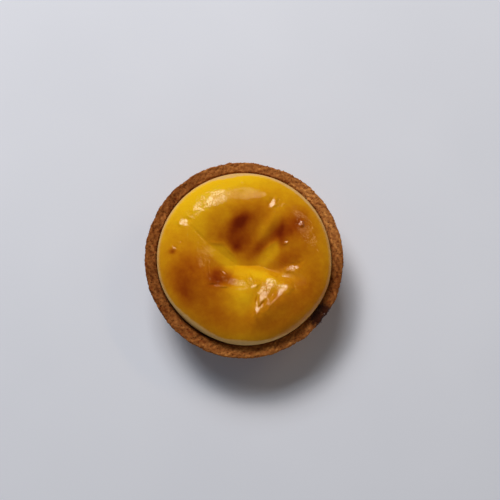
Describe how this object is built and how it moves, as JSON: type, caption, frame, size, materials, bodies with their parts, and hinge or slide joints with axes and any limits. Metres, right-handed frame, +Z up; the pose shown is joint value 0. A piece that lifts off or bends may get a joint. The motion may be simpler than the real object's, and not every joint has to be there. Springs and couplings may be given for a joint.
{
  "type": "cheese tart",
  "caption": "Round baked cheese tart: a tapered shortcrust shell holding a domed, glossy custard with a creased, sunken middle and browned patches.",
  "frame": {"origin": "centre of the flat base, on the surface the tart rests on", "axes": "+Z up through the tart; -Y towards the lower side of the picture; +X to its right"},
  "size_m": [0.07, 0.0696, 0.0291],
  "materials": {
    "shortcrust": "dry, sandy baked shortcrust pastry",
    "custard": "glossy egg-glazed baked cheese custard"
  },
  "bodies": {
    "root": {"tart_shell": "shortcrust", "cheese_filling": "custard"}
  },
  "joints": []
}
